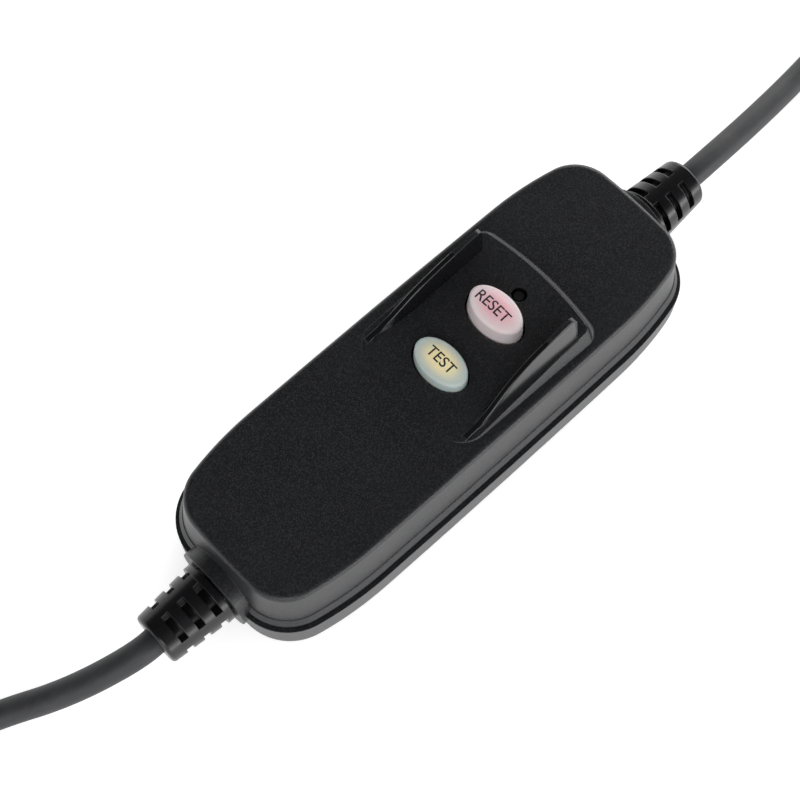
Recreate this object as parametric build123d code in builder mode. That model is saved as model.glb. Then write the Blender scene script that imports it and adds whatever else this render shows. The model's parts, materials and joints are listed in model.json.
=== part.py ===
"""In-line residual current adapter: a long two-part case on a rubber lead, with a plug and a coupler.

Millimetres. X runs along the case towards the supply side, +Z is up, and the case stands on z = 0
with its middle over the origin.
"""

import math
import os

from build123d import *

os.makedirs("parts", exist_ok=True)

# Case: the line of the top edge in plan, and how far each outline lies outside it
top_half_length = 75.0
top_half_width = 24.5
shoulder_radius = 100.0
corner_radius = 11.3
side_turn = 0.012
shoulder_turn = 0.222
end_turn = 0.055
top_out = 0.55
wall_foot_out = 2.5
lip_out = 3.4
base_out = 4.6

# Case heights above the floor
base_height = 20.0
cover_height = 16.35
cord_drop = 2.5
parting_gap = 0.8
lip_height = 1.7
wall = 2.3
base_floor = 2.6
base_rim_out = 0.0
base_rim_depth = 3.5
base_edge_radius = 12.0
top_edge_radius = 1.7
foot_recess_depth = 0.9
foot_recess_from = -37.5
foot_recess_to = 35.7
tongue_depth = 1.9
tongue_wall = 1.4
tongue_clearance = 0.25

# Wedge platform round the buttons, and the guard fins on it
platform_start = -12.4
platform_end = 40.6
platform_rise = 3.95
platform_bow = 2.4
platform_tail_half = 21.4
platform_half = 22.4
platform_taper = 33.0
platform_corner = 4.5
platform_tail_corner = 8.0
fin_start = -9.0
fin_rise_start = -4.0
fin_end = 31.7
fin_height = 10.1
fin_rise_length = 12.0
fin_rise_power = 1.6
fin_inner_foot = 16.4
fin_inner_crest = 16.9
fin_outer_crest = 18.2
fin_outer_foot = 20.4
fin_end_radius = 2.2
fin_stations = (0, 0.13, 0.24, 0.36, 0.5, 0.7, 1)

# Buttons: place along the case, size of the oval and height of its rim above the platform
reset_place = 20.8
reset_long = 18.6
reset_wide = 11.7
reset_rise = 3.9
reset_travel = 3.0
test_place = 0.8
test_long = 17.9
test_wide = 11.3
test_rise = 2.0
test_travel = 1.6
cap_wall = 1.5
cap_crown = 0.9
cap_edge_radius = 1.1
button_clearance = 0.35
button_flange = 1.4
button_flange_thick = 1.2
stem_radius = 3.0
spring_wire_radius = 0.35
spring_turns = 3
spring_clearance = 0.6
room_start = -8.0
room_end = 34.5
room_half_width = 14.0
indicator_place = 29.8
indicator_radius = 2.2
indicator_sunk = 0.7

# Collars and bend reliefs at the two ends
collar_radius = 12.1
collar_proud = 0.8
collar_depth = 10.4
relief_hold = 7.0
relief_flange_thick = 3.2
relief_flange_radius = 9.6
relief_neck_radius = 7.2
relief_gap = 0.5
relief_ring_width = 2.1
relief_ring_radius = 9.26
relief_reach = 20.1
relief_root_radius = 9.1
relief_tip_radius = 7.6
relief_core_radius = 6.0
relief_bar_count = 3
relief_bar_pitch = 5.4
relief_bar_gap = 2.2
relief_spine = 3.6
relief_clearance = 0.3
relief_turns = {"supply": 0.0, "load": -23.0}

# Lead
cord_radius = 3.85
cord_bore_clearance = 0.3
clamp_bay = 8.0
cord_straight = 6.5
floor_clearance = 0.05
core_radius = 1.2
least_bend = 5 * 2 * cord_radius

# Plug and coupler on the two ends of the lead
plug_start = 272.0
plug_relief_length = 22.0
plug_relief_tip = 5.4
plug_relief_root = 8.6
plug_length = 34.0
plug_radius = 19.5
plug_disc = 9.0
plug_grip_radius = 13.0
pin_radius = 2.4
pin_shank_radius = 2.0
pin_length = 19.0
pin_spacing = 19.0
pin_depth = 10.0
earth_width = 6.0
earth_thick = 1.0
coupler_start = 268.0
coupler_length = 58.0
coupler_radius = 22.5
coupler_well_radius = 19.9
coupler_well_depth = 17.5
coupler_barrel = 30.0
coupler_grip_radius = 15.0
sleeve_radius = 3.3
sleeve_bore = 2.65
sleeve_length = 16.0

# Circuit board and what stands on it
board_end_gap = 8.0
board_half_width = 18.5
board_drop = 8.0
board_thick = 1.6
post_end_gap = 4.0
post_side_gap = 5.5
post_radius = 2.5
stake_radius = 1.2
screw_end_gap = 19.6
screw_y = 14.5
boss_radius = 3.6
screw_radius = 1.5
screw_head_radius = 2.8
screw_head_sunk = 1.2
screw_head_thick = 2.2
screw_top_gap = 3.85
fit = 0.1
clamp_grip = 0.6
clamp_height = 5.4
clamp_length = 6.0
clamp_half_width = 10.5
clamp_screw_y = 7.9
clamp_screw_radius = 1.25
clamp_screw_drop = 6.0
clamp_head_radius = 2.2
clamp_head_thick = 1.5
guide_drop = 5.45
guide_thick = 1.6
guide_start = 8.5
guide_end = 33.0
guide_half_width = 13.5
guide_leg = 2.0
guide_finger_start = -5.0
guide_finger_half = 6.0
carriage_thick = 3.6
carriage_length = 12.0
carriage_half_width = 10.0
contact_y = 7.0
contact_width = 4.0
contact_thick = 0.6
contact_x = 26.0
contact_rivet = 1.6
rivet_height = 1.3
rivet_foot = 1.5
contact_start = 13.5
contact_end = 28.5
test_stem_reach = 3.0
core_ring_end_gap = 28.0
core_ring_y = -8.0
core_ring_thick = 3.4
core_ring_clearance = 2.05
core_ring_width = 7.6
winding_wall = 0.8
winding_turn = 300.0
solenoid_start = -20.0
solenoid_end = -3.0
solenoid_y = 9.5
solenoid_rise = 7.6
solenoid_radius = 6.0
solenoid_bore = 2.1
plunger_radius = 1.8
plunger_end = 11.0
plunger_collar = 3.0
plunger_travel = 1.8
frame_plate = 1.0
terminal_end_gap = 6.0
terminal_y = 8.0
terminal_length = 8.0
terminal_width = 7.0
terminal_height = 8.0
terminal_screw_radius = 1.4
terminal_head_radius = 2.3
terminal_head_thick = 1.4
slot_width = 0.7
wire_radius = 1.0
wire_gap = 1.0
wire_bend = 3.0
wire_end = 9.0
link_end_gap = 15.0
core_spread = 1.7
core_bend = 2.6
earth_drop = 4.0
resistor_start = -7.0
resistor_y = -14.0
resistor_radius = 2.0
resistor_length = 10.0
varistor_end_gap = 13.5
varistor_y = -15.6
varistor_radius = 5.0
varistor_thick = 4.0
capacitor_end_gap = 14.0
capacitor_y = 16.1
capacitor_length = 12.0
capacitor_width = 4.8
capacitor_height = 9.0
chip_y = 10.0
chip_length = 9.0
chip_width = 7.0
chip_height = 2.2
relief_lip_radius = 1.2
earth_contact_gap = 0.9

# Worked out from the sizes above: heights
cord_height = base_height - cord_drop
cover_bottom = base_height + parting_gap
case_height = cover_bottom + cover_height
board_bottom = base_height - board_drop
board_top = board_bottom + board_thick
earth_height = board_bottom - earth_drop
hollow_top = base_height - base_rim_depth
ceiling = case_height - wall
screw_end = ceiling - screw_top_gap
clamp_screw_end = cord_height - clamp_screw_drop
guide_top = ceiling - guide_drop
test_stem_end = guide_top - test_stem_reach
rivet_top = board_top + contact_thick + rivet_foot
strip_bottom = rivet_top + relief_clearance + reset_travel + rivet_height
carriage_top = strip_bottom + contact_thick + carriage_thick
solenoid_height = board_top + solenoid_rise
core_ring_outer = (ceiling - board_top - core_ring_clearance) / 2 - winding_wall
core_ring_inner = core_ring_outer - core_ring_thick

# Worked out from the sizes above: places along the case, from its ends inwards and outwards
case_end = top_half_length + base_out
collar_end = case_end + collar_proud
collar_inner = collar_end - collar_depth
cord_start = collar_inner - clamp_bay
relief_start = collar_end - relief_hold
relief_flange_end = relief_start + relief_flange_thick
relief_shoulder = collar_end + relief_gap
relief_ring_end = relief_shoulder + relief_ring_width
relief_end = collar_end + relief_reach
screw_x = case_end - screw_end_gap
board_half_length = cord_start - board_end_gap
post_x = board_half_length - post_end_gap
post_y = board_half_width - post_side_gap
terminal_x = board_half_length - terminal_end_gap
varistor_x = board_half_length - varistor_end_gap
capacitor_x = board_half_length - capacitor_end_gap
core_ring_x = core_ring_end_gap - board_half_length
link_x = link_end_gap - board_half_length
chip_x = (solenoid_start + terminal_length / 2 - terminal_x) / 2
tilt = platform_rise / (platform_end - platform_start)
sides = ((-1, -1), (-1, 1), (1, -1), (1, 1))
ends = (("supply", 1), ("load", -1))
clamp_x = (cord_start + collar_inner) / 2


def platform_height(x):
    """Height of the platform's sloping top over the floor at a place along the case."""
    return case_height + tilt * (x - platform_start)


def case_corners(out):
    """Centre, radius and angles of the four arcs in the first quarter, `out` outside the edge line."""
    turns = (side_turn, shoulder_turn, end_turn)
    sine, cosine = [math.sin(t) for t in turns], [math.cos(t) for t in turns]
    # the two outer radii follow from the half length and the half width
    length_left = (
        top_half_length
        - shoulder_radius * (sine[1] - sine[0])
        - corner_radius * (cosine[2] - sine[1])
    )
    width_left = (
        top_half_width
        - shoulder_radius * (cosine[0] - cosine[1])
        - corner_radius * (cosine[1] - sine[2])
    )
    known = sine[0] * sine[2] - (1 - cosine[2]) * (1 - cosine[0])
    side_radius = (length_left * sine[2] - (1 - cosine[2]) * width_left) / known
    end_radius = (sine[0] * width_left - (1 - cosine[0]) * length_left) / known
    centre_side = Vector(0, top_half_width - side_radius)
    centre_shoulder = centre_side + Vector(sine[0], cosine[0]) * (side_radius - shoulder_radius)
    centre_corner = centre_shoulder + Vector(sine[1], cosine[1]) * (shoulder_radius - corner_radius)
    centre_end = Vector(top_half_length - end_radius, 0)
    right = math.pi / 2
    return (
        (centre_side, side_radius + out, right, right - side_turn),
        (centre_shoulder, shoulder_radius + out, right - side_turn, right - shoulder_turn),
        (centre_corner, corner_radius + out, right - shoulder_turn, end_turn),
        (centre_end, end_radius + out, end_turn, 0),
    )


def on_arc(centre, radius, angle):
    return centre + Vector(math.cos(angle), math.sin(angle)) * radius


def case_outline(out):
    """Face inside the case's plan outline, parallel to the top edge line and `out` outside it."""
    side, shoulder, corner, end = case_corners(out)
    with BuildSketch() as face:
        with BuildLine():
            for sx, sy in sides:
                for centre, radius, start, stop in (shoulder, corner):
                    angles = (start, (start + stop) / 2, stop)
                    points = [on_arc(centre, radius, angle) for angle in angles]
                    ThreePointArc(*[Vector(sx * p.X, sy * p.Y) for p in points])
            for sign in (-1, 1):
                joint = on_arc(*side[:2], side[3])
                top = sign * (top_half_width + out)
                ThreePointArc(
                    Vector(-joint.X, sign * joint.Y), Vector(0, top), Vector(joint.X, sign * joint.Y)
                )
                joint = on_arc(*end[:2], end[2])
                tip = sign * (top_half_length + out)
                ThreePointArc(
                    Vector(sign * joint.X, joint.Y), Vector(tip, 0), Vector(sign * joint.X, -joint.Y)
                )
        make_face()
    return face.sketch


def across(x):
    """Plane square to the case's length at x, its own x along Y and its y up."""
    return Plane((x, 0, 0), x_dir=(0, 1, 0), z_dir=(1, 0, 0))


def clamp_screws(side):
    return [(side * clamp_x, -clamp_screw_y), (side * clamp_x, clamp_screw_y)]


def corners(x, y):
    return [(sx * x, sy * y) for sx, sy in sides]


def finish(builder, name):
    builder.part.label = name
    export_step(builder.part, f"parts/{name}.step")


# Base cover: a tray with a rounded foot, screw and board posts and a half collar at each end

with BuildPart() as base_hollow:
    with BuildSketch(Plane.XY.offset(base_floor)):
        add(case_outline(base_out - wall))
    extrude(amount=hollow_top - base_floor)
    hollow_radius = min(base_edge_radius - wall, hollow_top - base_floor - fit)
    fillet(base_hollow.edges().group_by(Axis.Z)[0], hollow_radius)
    with BuildSketch(Plane.XY.offset(hollow_top)):
        add(case_outline(base_rim_out))
    extrude(amount=base_rim_depth)

with BuildPart() as base_cover:
    with BuildSketch():
        add(case_outline(base_out))
    extrude(amount=base_height)
    fillet(base_cover.edges().group_by(Axis.Z)[0], base_edge_radius)
    add(base_hollow.part, mode=Mode.SUBTRACT)
    with BuildSketch(Plane.XY.offset(base_floor)):
        with Locations(*corners(screw_x, screw_y)):
            Circle(boss_radius)
    extrude(amount=base_height - base_floor - fit)
    with BuildSketch(Plane.XY.offset(base_floor)):
        with Locations(*corners(post_x, post_y)):
            Circle(post_radius)
    extrude(amount=board_bottom - base_floor)
    with BuildSketch(Plane.XY.offset(board_bottom)):
        with Locations(*corners(post_x, post_y)):
            Circle(stake_radius)
    extrude(amount=board_thick + stake_radius)
    for side in (-1, 1):
        with BuildSketch(across(side * collar_end)):
            with Locations((0, cord_height)):
                Circle(collar_radius)
        extrude(amount=-side * (collar_end - cord_start))
        with BuildSketch(Plane.XY.offset(base_floor)):
            with Locations((side * clamp_x, 0)):
                Rectangle(clamp_bay, 2 * collar_radius)
        extrude(amount=cord_height - base_floor)
    with BuildSketch(Plane.XY.offset(base_height)):
        Rectangle(4 * top_half_length, 4 * top_half_width)
    extrude(amount=case_height, mode=Mode.SUBTRACT)
    for side in (-1, 1):
        with BuildSketch(across(side * (collar_end + wall))):
            with Locations((0, cord_height)):
                Circle(relief_neck_radius + relief_clearance)
        extrude(amount=-side * (collar_end + wall - collar_inner), mode=Mode.SUBTRACT)
        with BuildSketch(across(side * (relief_flange_end + relief_clearance))):
            with Locations((0, cord_height)):
                Circle(relief_flange_radius + relief_clearance)
        flange_room = relief_flange_end - relief_start + 2 * relief_clearance
        extrude(amount=-side * flange_room, mode=Mode.SUBTRACT)
        with BuildSketch(across(side * collar_inner)):
            with Locations((0, cord_height)):
                Circle(cord_radius + fit)
        extrude(amount=-side * (collar_inner - cord_start), mode=Mode.SUBTRACT)
        # the clamp's seat stops short of the cord's axis, so that the clamp can grip
        with BuildSketch(Plane.XY.offset(cord_height - clamp_grip)):
            with Locations((side * (cord_start + collar_inner) / 2, 0)):
                Rectangle(collar_inner - cord_start, 2 * collar_radius)
        extrude(amount=base_height, mode=Mode.SUBTRACT)
        with BuildSketch(Plane.XY.offset(clamp_screw_end - fit)):
            with Locations(*clamp_screws(side)):
                Circle(clamp_screw_radius + fit)
        extrude(amount=base_height, mode=Mode.SUBTRACT)
    with BuildSketch():
        with Locations(*corners(screw_x, screw_y)):
            Circle(screw_radius + fit)
    extrude(amount=base_height, mode=Mode.SUBTRACT)
    with BuildSketch():
        with Locations(*corners(screw_x, screw_y)):
            Circle(screw_head_radius + fit)
    extrude(amount=screw_head_sunk + screw_head_thick, mode=Mode.SUBTRACT)
    with BuildSketch():
        with Locations(((foot_recess_from + foot_recess_to) / 2, 0)):
            Rectangle(foot_recess_to - foot_recess_from, 4 * top_half_width)
    extrude(amount=foot_recess_depth, mode=Mode.SUBTRACT)
finish(base_cover, "base_cover")

# Top cover: a drafted shell on a lip, with a wedge platform and two guard fins that rise in an S


def fin_crest(x):
    """Height of the fin's crest over the platform: slow, steep, then nearly level."""
    run = max(x - fin_rise_start, 0) / fin_rise_length
    return fin_height * (1 - math.exp(-(run**fin_rise_power)))


def fin_section(x, side):
    """Cross section of a fin: steep inside, leaning outside, sunk into the platform."""
    foot = platform_height(x) - wall / 2
    share = fin_crest(x) / fin_height
    crest = platform_height(x) + fin_crest(x) + spring_wire_radius
    inner = fin_inner_foot + (fin_inner_crest - fin_inner_foot) * share
    outer = fin_outer_foot + (fin_outer_crest - fin_outer_foot) * share
    tail = (fin_outer_foot - fin_inner_foot) / 2 * (1 - share) * 0.8
    with BuildSketch(across(x)) as section:
        with BuildLine():
            Polyline(
                (side * fin_inner_foot, foot),
                (side * (inner + tail), crest),
                (side * (outer - tail / 2), crest),
                (side * fin_outer_foot, foot),
                close=True,
            )
        make_face()
    return section.sketch


with BuildPart() as platform:
    with BuildSketch(Plane.XY.offset(case_height - wall / 2)) as platform_plan:
        with BuildLine():
            bow_start = platform_end - platform_bow
            Polyline(
                (bow_start, platform_half),
                (platform_start, platform_tail_half),
                (platform_start, -platform_tail_half),
                (bow_start, -platform_half),
            )
            ThreePointArc((bow_start, -platform_half), (platform_end, 0), (bow_start, platform_half))
        make_face()
        fillet(platform_plan.vertices().group_by(Axis.X)[0], platform_tail_corner)
        fillet(platform_plan.vertices().filter_by_position(
            Axis.X, bow_start - wall, bow_start + wall), platform_corner)
    extrude(amount=wall / 2)
    extrude(platform.faces().sort_by(Axis.Z)[-1], amount=2 * platform_rise, taper=platform_taper)
    split(
        bisect_by=Plane((platform_start, 0, case_height), x_dir=(1, 0, tilt), z_dir=(-tilt, 0, 1)),
        keep=Keep.BOTTOM,
    )

with BuildPart() as fins:
    for side in (-1, 1):
        loft([fin_section(fin_start + (fin_end - fin_start) * s, side) for s in fin_stations])
    fillet(fins.edges().group_by(Axis.X)[-1].group_by(Axis.Z)[-1], fin_end_radius)

with BuildPart() as cover_hollow:
    with BuildSketch(Plane.XY.offset(cover_bottom)):
        add(case_outline(wall_foot_out - wall))
    with BuildSketch(Plane.XY.offset(ceiling)):
        add(case_outline(top_out - wall))
    loft()
    with BuildSketch(Plane.XZ):
        with BuildLine():
            Polyline(
                (room_start, ceiling - wall),
                (room_end, ceiling - wall),
                (room_end, platform_height(room_end) - wall),
                (room_start, platform_height(room_start) - wall),
                close=True,
            )
        make_face()
    extrude(amount=room_half_width, both=True)

with BuildPart() as tongue:
    with BuildSketch(Plane.XY.offset(base_height - tongue_depth)):
        add(case_outline(base_rim_out - tongue_clearance))
        add(case_outline(base_rim_out - tongue_clearance - tongue_wall), mode=Mode.SUBTRACT)
    extrude(amount=tongue_depth + parting_gap)
    with BuildSketch(Plane.XY.offset(cover_bottom)):
        add(case_outline(wall_foot_out - wall / 2))
        add(case_outline(base_rim_out - tongue_clearance - tongue_wall), mode=Mode.SUBTRACT)
    extrude(amount=lip_height)
    with BuildSketch(Plane.XY.offset(base_height - tongue_depth)):
        Rectangle(4 * top_half_length, 2 * (collar_radius + tongue_clearance))
        Rectangle(2 * cord_start, 2 * (collar_radius + tongue_clearance), mode=Mode.SUBTRACT)
    extrude(amount=tongue_depth + parting_gap, mode=Mode.SUBTRACT)

with BuildPart() as top_cover:
    with BuildSketch(Plane.XY.offset(cover_bottom)):
        add(case_outline(wall_foot_out))
    with BuildSketch(Plane.XY.offset(case_height)):
        add(case_outline(top_out))
    loft()
    fillet(top_cover.edges().group_by(Axis.Z)[-1], top_edge_radius)
    add(platform.part)
    add(fins.part)
    with BuildSketch(Plane.XY.offset(cover_bottom)):
        add(case_outline(lip_out))
    extrude(amount=lip_height / 2)
    with BuildSketch(Plane.XY.offset(cover_bottom + lip_height / 2)):
        add(case_outline(lip_out))
    with BuildSketch(Plane.XY.offset(cover_bottom + 1.5 * lip_height)):
        add(case_outline(wall_foot_out - fit))
    loft()
    add(cover_hollow.part, mode=Mode.SUBTRACT)
    add(tongue.part)
    for side in (-1, 1):
        with BuildSketch(across(side * collar_end)):
            with Locations((0, cord_height)):
                Circle(collar_radius)
            Rectangle(4 * collar_radius, 2 * (base_height + fit), mode=Mode.SUBTRACT)
        extrude(amount=-side * (collar_end - collar_inner))
        with BuildSketch(across(side * (collar_end + wall))):
            with Locations((0, cord_height)):
                Circle(relief_neck_radius + relief_clearance)
        extrude(amount=-side * (collar_end + wall - collar_inner), mode=Mode.SUBTRACT)
        with BuildSketch(across(side * (relief_flange_end + relief_clearance))):
            with Locations((0, cord_height)):
                Circle(relief_flange_radius + relief_clearance)
        extrude(amount=-side * flange_room, mode=Mode.SUBTRACT)
    with BuildSketch(Plane.XY.offset(base_height)):
        with Locations(*corners(screw_x, screw_y)):
            Circle(boss_radius)
    extrude(amount=ceiling - base_height)
    with BuildSketch(Plane.XY.offset(base_height)):
        with Locations(*corners(screw_x, screw_y)):
            Circle(screw_radius + fit)
    extrude(amount=screw_end + fit - base_height, mode=Mode.SUBTRACT)
    with BuildSketch(Plane.XY.offset(ceiling - wall)):
        with Locations((reset_place, 0)):
            Ellipse(reset_wide / 2 + button_clearance, reset_long / 2 + button_clearance)
        with Locations((test_place, 0)):
            Ellipse(test_wide / 2 + button_clearance, test_long / 2 + button_clearance)
        with Locations((indicator_place, 0)):
            Circle(indicator_radius)
    extrude(amount=case_height, mode=Mode.SUBTRACT)
finish(top_cover, "top_cover")

# Screws that hold the two covers

with BuildPart() as case_screws:
    with BuildSketch(Plane.XY.offset(screw_head_sunk)):
        with Locations(*corners(screw_x, screw_y)):
            Circle(screw_head_radius)
    extrude(amount=screw_head_thick)
    with BuildSketch(Plane.XY.offset(screw_head_sunk)):
        with Locations(*corners(screw_x, screw_y)):
            Circle(screw_radius)
    extrude(amount=screw_end - screw_head_sunk)
    with BuildSketch(Plane.XY.offset(screw_head_sunk)):
        with Locations(*corners(screw_x, screw_y)):
            Rectangle(2 * slot_width, screw_head_radius)
            Rectangle(screw_head_radius, 2 * slot_width)
    extrude(amount=screw_head_thick / 2, mode=Mode.SUBTRACT)
finish(case_screws, "case_screws")

# Buttons: a soft oval cap over a hard core with a flange and a stem


def flange_height(place, wide):
    """Top of a button's flange, just under the sloping roof at its lower side."""
    roof = platform_height(place) - wall
    return roof - tilt * (wide / 2 + button_flange) - button_clearance


def coil_path(radius, low, high, turns, place):
    """Spring's line as pairs of arcs a half turn, through points of a helix and along it."""
    rise = (high - low) / turns
    points, slopes = [], []
    for step in range(2 * turns + 1):
        angle = math.pi * step
        x, y = math.cos(angle), math.sin(angle)
        points.append(Vector(place + radius * x, radius * y, low + rise * step / 2))
        slopes.append(Vector(-y * radius, x * radius, rise / (2 * math.pi)).normalized())
    for a, b, s, t in zip(points, points[1:], slopes, slopes[1:]):
        span = b - a
        k = 2 * (1 - s.dot(t))
        along = span.dot(s + t)
        reach = (math.sqrt(along**2 + k * span.dot(span)) - along) / k
        middle = (a + b + (s - t) * reach) / 2
        first = TangentArc(a, middle, tangent=s)
        TangentArc(middle, b, tangent=first % 1)


buttons = (
    ("reset", reset_place, reset_wide, reset_long, reset_rise, carriage_top),
    ("test", test_place, test_wide, test_long, test_rise, test_stem_end),
)
for name, place, wide, long, rise, stem_end in buttons:
    rim = platform_height(place) + rise
    seat = flange_height(place, wide)
    dome = ((long / 2) ** 2 + cap_crown**2) / (2 * cap_crown)
    flange_bottom = seat - button_flange_thick

    with BuildPart() as cap:
        with BuildSketch(Plane.XY.offset(seat)):
            with Locations((place, 0)):
                Ellipse(wide / 2, long / 2)
        extrude(amount=rim + cap_crown - seat)
        with Locations((place, 0, rim + cap_crown - dome)):
            Sphere(dome, mode=Mode.INTERSECT)
        fillet(cap.edges().sort_by(SortBy.LENGTH)[-2:].sort_by(Axis.Z)[-1], cap_edge_radius)
        with BuildSketch(Plane.XY.offset(seat)):
            with Locations((place, 0)):
                Ellipse(wide / 2 - cap_wall, long / 2 - cap_wall)
        extrude(amount=rim - cap_wall - seat, mode=Mode.SUBTRACT)
    finish(cap, f"{name}_cap")

    with BuildPart() as button:
        with BuildSketch(Plane.XY.offset(seat)):
            with Locations((place, 0)):
                Ellipse(wide / 2 - cap_wall, long / 2 - cap_wall)
        extrude(amount=rim - cap_wall - seat)
        with BuildSketch(Plane.XY.offset(flange_bottom)):
            with Locations((place, 0)):
                Ellipse(wide / 2 + button_flange, long / 2 + button_flange)
        extrude(amount=button_flange_thick)
        with BuildSketch(Plane.XY.offset(stem_end)):
            with Locations((place, 0)):
                Circle(stem_radius)
        extrude(amount=flange_bottom - stem_end)
    finish(button, f"{name}_button")

    with BuildPart() as spring:
        with BuildLine() as spring_line:
            coil_path(
                stem_radius + spring_clearance + spring_wire_radius,
                guide_top + spring_wire_radius,
                flange_bottom - spring_wire_radius,
                spring_turns,
                place,
            )
        with BuildSketch(Plane(spring_line.line @ 0, z_dir=spring_line.line % 0)):
            Circle(spring_wire_radius)
        sweep()
    finish(spring, f"{name}_spring")

with BuildPart() as indicator_lens:
    lens_top = platform_height(indicator_place) - indicator_sunk
    with BuildSketch(Plane.XY.offset(lens_top)):
        with Locations((indicator_place, 0)):
            Circle(indicator_radius)
    extrude(amount=-(wall - indicator_sunk))
finish(indicator_lens, "indicator_lens")

# Circuit board on its posts, and the guide that carries both buttons

with BuildPart() as circuit_board:
    with BuildSketch(Plane.XY.offset(board_bottom)):
        Rectangle(2 * board_half_length, 2 * board_half_width)
        with Locations(*corners(post_x, post_y)):
            Circle(stake_radius, mode=Mode.SUBTRACT)
    extrude(amount=board_thick)
finish(circuit_board, "circuit_board")

with BuildPart() as button_guide:
    with BuildSketch(Plane.XY.offset(guide_top - guide_thick)):
        with Locations(((guide_start + guide_end) / 2, 0)):
            Rectangle(guide_end - guide_start, 2 * guide_half_width)
        with Locations(((guide_finger_start + guide_start) / 2, 0)):
            Rectangle(guide_start - guide_finger_start, 2 * guide_finger_half)
        with Locations((reset_place, 0), (test_place, 0)):
            Circle(stem_radius + fit, mode=Mode.SUBTRACT)
    extrude(amount=guide_thick)
    with BuildSketch(Plane.XY.offset(board_top)):
        for x in (guide_start + guide_leg / 2, guide_end - guide_leg / 2):
            with Locations((x, guide_half_width - guide_leg / 2), (x, guide_leg / 2 - guide_half_width)):
                Rectangle(guide_leg, guide_leg)
    extrude(amount=guide_top - guide_thick - board_top)
finish(button_guide, "button_guide")

# Main contacts: a carriage under the RESET stem, its two strips, and two fixed strips on the board

with BuildPart() as contact_carriage:
    with BuildSketch(Plane.XY.offset(carriage_top - carriage_thick)):
        with Locations((reset_place, 0)):
            RectangleRounded(carriage_length, 2 * carriage_half_width, cap_wall)
    extrude(amount=carriage_thick)
finish(contact_carriage, "contact_carriage")

strip_middle = (contact_start + contact_end) / 2
contact_points = [(contact_x, -contact_y), (contact_x, contact_y)]

with BuildPart() as moving_contacts:
    with BuildSketch(Plane.XY.offset(strip_bottom)):
        with Locations((strip_middle, -contact_y), (strip_middle, contact_y)):
            Rectangle(contact_end - contact_start, contact_width)
    extrude(amount=contact_thick)
    with BuildSketch(Plane.XY.offset(strip_bottom)):
        with Locations(*contact_points):
            Circle(contact_rivet)
    extrude(amount=-rivet_height)
finish(moving_contacts, "moving_contacts")

with BuildPart() as fixed_contacts:
    with BuildSketch(Plane.XY.offset(board_top)):
        strip_start = contact_x - contact_rivet
        strip_end = terminal_x - terminal_length / 2
        with Locations(*[((strip_start + strip_end) / 2, y) for y in (-contact_y, contact_y)]):
            Rectangle(strip_end - strip_start, contact_width)
    extrude(amount=contact_thick)
    with BuildSketch(Plane.XY.offset(board_top + contact_thick)):
        with Locations(*contact_points):
            Circle(contact_rivet)
    extrude(amount=rivet_foot)
finish(fixed_contacts, "fixed_contacts")

# Test circuit: a bent strip under the TEST stem, and its resistor

with BuildPart() as test_contact:
    strip_top = test_stem_end - test_travel - relief_clearance
    with BuildSketch(Plane.YZ.offset(test_place - contact_width / 2)):
        with BuildLine():
            Polyline(
                (contact_width, board_top),
                (contact_width, strip_top),
                (-stem_radius, strip_top),
                (-stem_radius, strip_top - contact_thick),
                (contact_width - contact_thick, strip_top - contact_thick),
                (contact_width - contact_thick, board_top),
                close=True,
            )
        make_face()
    extrude(amount=contact_width)
finish(test_contact, "test_contact")

with BuildPart() as test_resistor:
    with BuildSketch(across(resistor_start)):
        with Locations((resistor_y, board_top + resistor_radius)):
            Circle(resistor_radius)
    extrude(amount=resistor_length)
    fillet(test_resistor.edges().filter_by(GeomType.CIRCLE), resistor_radius / 3)
finish(test_resistor, "test_resistor")

# Residual current sensor: a ring core in a winding that leaves a gap, with both live wires through it

ring_height = board_top + core_ring_outer + winding_wall
ring_axis = Axis((core_ring_x, core_ring_y, ring_height), (1, 0, 0))


def ring_profile(inner, outer, width):
    """Rectangle above the ring's axis, in the plane through that axis."""
    with BuildSketch(Plane((core_ring_x, core_ring_y, ring_height), x_dir=(1, 0, 0), z_dir=(0, -1, 0))) as s:
        with Locations((0, (inner + outer) / 2)):
            Rectangle(width, outer - inner)
    return s.sketch


with BuildPart() as sensing_core:
    add(ring_profile(core_ring_inner, core_ring_outer, core_ring_width))
    revolve(axis=ring_axis)
finish(sensing_core, "sensing_core")

with BuildPart() as sensing_winding:
    add(
        ring_profile(
            core_ring_inner - winding_wall,
            core_ring_outer + winding_wall,
            core_ring_width + 2 * winding_wall,
        )
    )
    revolve(axis=ring_axis, revolution_arc=winding_turn / 2)
    add(
        ring_profile(
            core_ring_inner - winding_wall,
            core_ring_outer + winding_wall,
            core_ring_width + 2 * winding_wall,
        )
    )
    revolve(axis=ring_axis, revolution_arc=-winding_turn / 2)
    add(sensing_core.part, mode=Mode.SUBTRACT)
finish(sensing_winding, "sensing_winding")

with BuildPart() as through_wires:
    for y in (core_ring_y - wire_radius - wire_gap / 2, core_ring_y + wire_radius + wire_gap / 2):
        with BuildLine() as wire_line:
            FilletPolyline(
                (wire_end, y, board_top),
                (wire_end, y, ring_height),
                (link_x, y, ring_height),
                (link_x, y, board_top),
                radius=wire_bend,
            )
        with BuildSketch(Plane(wire_line.line @ 0, z_dir=wire_line.line % 0)):
            Circle(wire_radius)
        sweep(path=wire_line.line)
finish(through_wires, "through_wires")

# Trip solenoid: winding on a frame, and the plunger that slides in it

solenoid_middle = (solenoid_start + solenoid_end) / 2
solenoid_length = solenoid_end - solenoid_start

with BuildPart() as solenoid_winding:
    with BuildSketch(across(solenoid_start + frame_plate)):
        with Locations((solenoid_y, solenoid_height)):
            Circle(solenoid_radius)
            Circle(solenoid_bore, mode=Mode.SUBTRACT)
    extrude(amount=solenoid_length - 2 * frame_plate)
finish(solenoid_winding, "solenoid_winding")

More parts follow.
